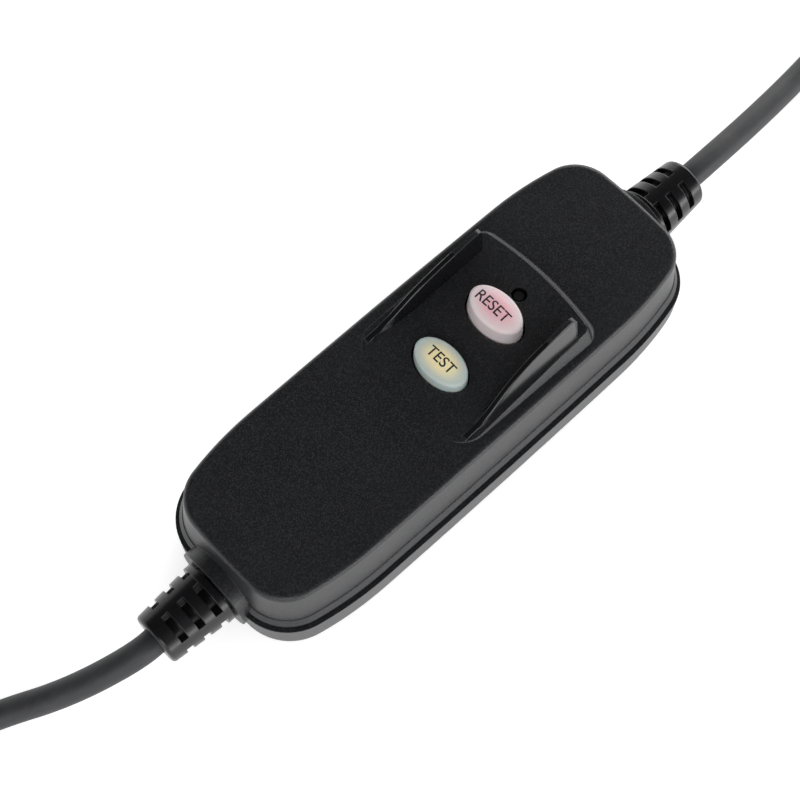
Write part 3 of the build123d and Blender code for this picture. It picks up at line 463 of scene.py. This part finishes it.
def fin(name, side):
    """Guard fin: at each x a steep inner wall, a rounded crest and a leaning outer wall.

    The crest rises over the sloping platform by fin_rise (1 - exp(-((x + 4) / 12) ** 1.6)), so
    it is slow, then steep, then nearly level, and its end rounds off as a quarter circle. Over
    its first 3 mm it comes up out of the surface.
    """
    round_start = fin_end + skin - fin_end_round
    x = np.concatenate([
        np.linspace(fin_start, fin_end - fin_end_round, 90),
        round_start + fin_end_round * np.sin(np.linspace(0, np.pi / 2, 12)),
    ])[:, None]
    run = np.maximum(x + 4, 0) / 12
    share = 1 - np.exp(-(run**1.6))
    past = np.maximum(x - round_start, 0)
    drop = fin_end_round - np.sqrt(np.maximum(fin_end_round**2 - past**2, 0))
    foot = platform_height(x) - fin_foot_sunk
    start = np.clip((x - fin_start) / 3, 0, 1)
    crest = platform_height(x) + fin_rise * share + (0.35 + skin) * start * (2 - start) - drop
    tail = (fin_outer - fin_inner) / 2 * (1 - share) * 0.8
    inner_foot = fin_inner - skin
    inner_crest = fin_inner + 0.5 * share + tail - skin
    outer_crest = fin_outer - 2.2 * share - tail / 2 + skin
    outer_foot = fin_outer + skin
    radius = np.minimum(0.55, (outer_crest - inner_crest) / 2)
    shoulder = crest - radius
    turn = np.linspace(0, np.pi / 2, 7)[None, :]
    wall = np.linspace(0, 1, 12)[None, :-1]
    y = np.concatenate([
        inner_foot + (inner_crest - inner_foot) * wall,
        inner_crest + radius * (1 - np.cos(turn)),
        outer_crest - radius * (1 - np.sin(turn)),
        outer_crest + (outer_foot - outer_crest) * wall[:, 1:],
    ], axis=1)
    z = np.concatenate([
        foot + (shoulder - foot) * wall,
        crest - radius * (1 - np.sin(turn)),
        crest - radius * (1 - np.cos(turn)),
        shoulder + (foot - shoulder) * wall[:, 1:],
    ], axis=1)
    points = np.stack([np.broadcast_to(x, y.shape), side * y, z], axis=-1)
    if side < 0:
        points = points[:, ::-1]
    piece = grid_piece(name, points, ends=True)
    coat(piece, fin_finish)
    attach(piece, "case")


fin("fin_left", 1)
fin("fin_right", -1)

# Soft caps and their words

cap_shoulder = 1.25
cap_crown = 0.9
ink_lift = 0.02


def cap_coat(name, place, wide, long, rim_colour, centre_colour):
    """Soft cap: milky at the rim and the side, tinted over the coloured core in the middle."""
    finish = Finish(
        name, Subsurface_Weight=0.35, Subsurface_Scale=1.2 * mm, Specular_IOR_Level=0.45
    )
    along = (finish.part("X") - place * mm) / (wide / 2 * mm)
    across = finish.part("Y") / (long / 2 * mm)
    reach = (along * along + across * across) ** 0.5
    cloud = finish.noise(350.0, 2.0) * 0.12
    share = (reach + cloud).fade(0.35, 0.98)
    finish.set("Base Color", finish.mix(share, centre_colour, rim_colour))
    finish.set("Roughness", finish.noise(900.0) * 0.1 + 0.32)
    finish.bump(finish.noise(1400.0, 2.0), 0.008 * mm)
    return finish


def cap(name, node, body, place, wide, long, seat, rim, draft, finish):
    """Oval cap: rings from the seat up a tapering side, round a shoulder and over a crown.

    Each ring is an ellipse. The shoulder follows a quarter circle, and the crown a shallow
    dome, rim + cap_crown (1 - share ** 2), where share is the ring's size beside the crown's.
    """
    side = np.linspace(0, 1, 8)[:-1]
    turn = np.linspace(0, np.pi / 2, 10)
    share = 1 - np.linspace(0, 1, 14)[1:]
    inset = np.concatenate([draft * side, draft + cap_shoulder * (1 - np.cos(turn))])
    half_x = np.concatenate([wide / 2 - inset, (wide / 2 - inset[-1]) * share])[:, None]
    half_y = np.concatenate([long / 2 - inset, (long / 2 - inset[-1]) * share])[:, None]
    height = np.concatenate([
        seat + (rim - cap_shoulder - seat) * side,
        rim - cap_shoulder * (1 - np.sin(turn)),
        rim + cap_crown * (1 - share**2),
    ])[:, None]
    angle = np.linspace(0, 2 * np.pi, 72, endpoint=False)[None, :]
    x = place + half_x * np.cos(angle)
    y = half_y * np.sin(angle)
    points = np.stack([x, y, np.broadcast_to(height, x.shape)], axis=-1)
    piece = grid_piece(name, points, ends=False)
    coat(piece, finish)
    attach(piece, body)
    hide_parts(node)


def cut_fine(mesh, passes):
    """Cuts every triangle into four, so many times over, so that the flat letters can bend."""
    work = bmesh.new()
    work.from_mesh(mesh)
    bmesh.ops.triangulate(work, faces=work.faces)
    for _ in range(passes):
        bmesh.ops.subdivide_edges(work, edges=work.edges, cuts=1, use_grid_fill=True)
    work.to_mesh(mesh)
    work.free()


def word(name, text, body, place, crown_half, rim, centre, length, height):
    """Printed word on a cap's crown, reading towards -Y, laid on the dome ink_lift above it."""
    data = bpy.data.curves.new(name, "FONT")
    data.body = text
    data.align_x = "CENTER"
    data.align_y = "CENTER"
    data.offset = 0.006
    text_piece = bpy.data.objects.new(name, data)
    collection.objects.link(text_piece)
    bpy.context.view_layer.update()
    mesh = bpy.data.meshes.new_from_object(text_piece)
    bpy.data.objects.remove(text_piece)
    cut_fine(mesh, 2)
    flat = np.zeros(3 * len(mesh.vertices), np.float32)
    mesh.vertices.foreach_get("co", flat)
    flat = flat.reshape(-1, 3)
    low, high = flat.min(0), flat.max(0)
    share = (flat - (low + high) / 2) / np.maximum(high - low, 1e-6)
    x = centre[0] + share[:, 1] * height
    y = centre[1] - share[:, 0] * length
    reach = np.sqrt(((x - place) / crown_half[0]) ** 2 + (y / crown_half[1]) ** 2)
    z = rim + cap_crown * (1 - reach**2) + ink_lift
    points = np.stack([x, y, z], axis=-1) * mm
    mesh.vertices.foreach_set("co", points.astype(np.float32).ravel())
    mesh.update()
    piece = bpy.data.objects.new(name, mesh)
    collection.objects.link(piece)
    coat(piece, ink_finish)
    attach(piece, body)


# The body's name, the cap's place, size, seat, rim and draft, its two colours, and the word's
# centre, length and height
caps = (
    ("reset", 20.8, 11.7, 18.6, 35.6, 44.7, 0.6,
     (0.74, 0.66, 0.67), (0.78, 0.45, 0.5), (20.5, 0.8), 11.2, 3.2),
    ("test", 0.9, 11.3, 17.9, 34.1, 41.1, 0.3,
     (0.45, 0.52, 0.50), (0.83, 0.72, 0.42), (1.0, 0.0), 9.3, 3.1),
)
for (name, place, wide, long, seat, rim, draft,
     rim_colour, centre_colour, centre, length, height) in caps:
    finish = cap_coat(f"{name}_silicone", place, wide, long, rim_colour, centre_colour)
    cap(f"{name}_skin", f"{name}_cap", name, place, wide, long, seat, rim, draft, finish)
    crown_half = (wide / 2 - draft - cap_shoulder, long / 2 - draft - cap_shoulder)
    word(f"{name}_word", name.upper(), name, place, crown_half, rim, centre, length, height)

# Floor, dark ceiling, sky and lamps


def stage_plane(name, size, centre, finish):
    """Level square that is part of the stage, not of the object."""
    mesh = bpy.data.meshes.new(name)
    x, y, z = centre
    half = size / 2
    signs = ((-1, -1), (1, -1), (1, 1), (-1, 1))
    corners = [(x + across * half, y + along * half, z) for across, along in signs]
    mesh.from_pydata(corners, [], [(0, 1, 2, 3)])
    piece = bpy.data.objects.new(name, mesh)
    collection.objects.link(piece)
    piece.data.materials.append(finish.material)
    return piece


def seen_directly(finish):
    """1 for camera, glossy and transmission rays, 0 for the rays that light the object."""
    camera_ray, glossy_ray, through_ray = (
        finish.node("LightPath", output=f"Is {kind} Ray")
        for kind in ("Camera", "Glossy", "Transmission")
    )
    total = camera_ray + glossy_ray + through_ray
    return total.math("MINIMUM", total, 1.0)


floor_finish = Finish("floor", (0.9, 0.9, 0.9), Roughness=0.9, Specular_IOR_Level=0.0)
floor_finish.set("Emission Color", (1, 1, 1))
floor_finish.set("Emission Strength", seen_directly(floor_finish) * 0.5)
stage_plane("floor", 6.0, (0, 0, 0), floor_finish)

# Only glossy rays meet the ceiling: it darkens what the top of the case mirrors
dark_finish = Finish("ceiling", (0.0, 0.0, 0.0), Roughness=1.0, Specular_IOR_Level=0.0)
ceiling = stage_plane("ceiling", 5.0, (0.3, 0.3, 1.1), dark_finish)
ceiling.visible_camera = False
ceiling.visible_diffuse = False
ceiling.visible_shadow = False
ceiling.visible_transmission = False

world = bpy.data.worlds.new("studio")
world.use_nodes = True
bpy.context.scene.world = world


class Sky(Finish):
    """The world's tree, with the same node() as a finish."""

    def __init__(self, world):
        self.tree = world.node_tree
        self.shader = self.tree.nodes["Background"]


sky = Sky(world)
sky.set("Color", (1.0, 1.0, 1.0))
sky.set("Strength", seen_directly(sky) * 0.3 + 0.7)


def softbox(name, place, aim, width, depth, power):
    """Rectangular lamp that faces the point it is aimed at."""
    data = bpy.data.lights.new(name, "AREA")
    data.shape = "RECTANGLE"
    data.size = width
    data.size_y = depth
    data.energy = power
    lamp = bpy.data.objects.new(name, data)
    facing = (Vector(aim) - Vector(place)).to_track_quat("-Z", "Y").to_matrix().to_4x4()
    lamp.matrix_world = Matrix.Translation(place) @ facing
    collection.objects.link(lamp)


softbox("key_lamp", (-0.85, -0.75, 0.75), (0, 0, 0.03), 0.7, 0.7, 5.0)
softbox("side_lamp", (0.28, -1.03, 0.13), (0, 0, 0.03), 1.4, 0.22, 5.0)
softbox("end_lamp", (1.05, 0.3, 0.26), (0.05, 0, 0.03), 1.2, 0.4, 5.5)
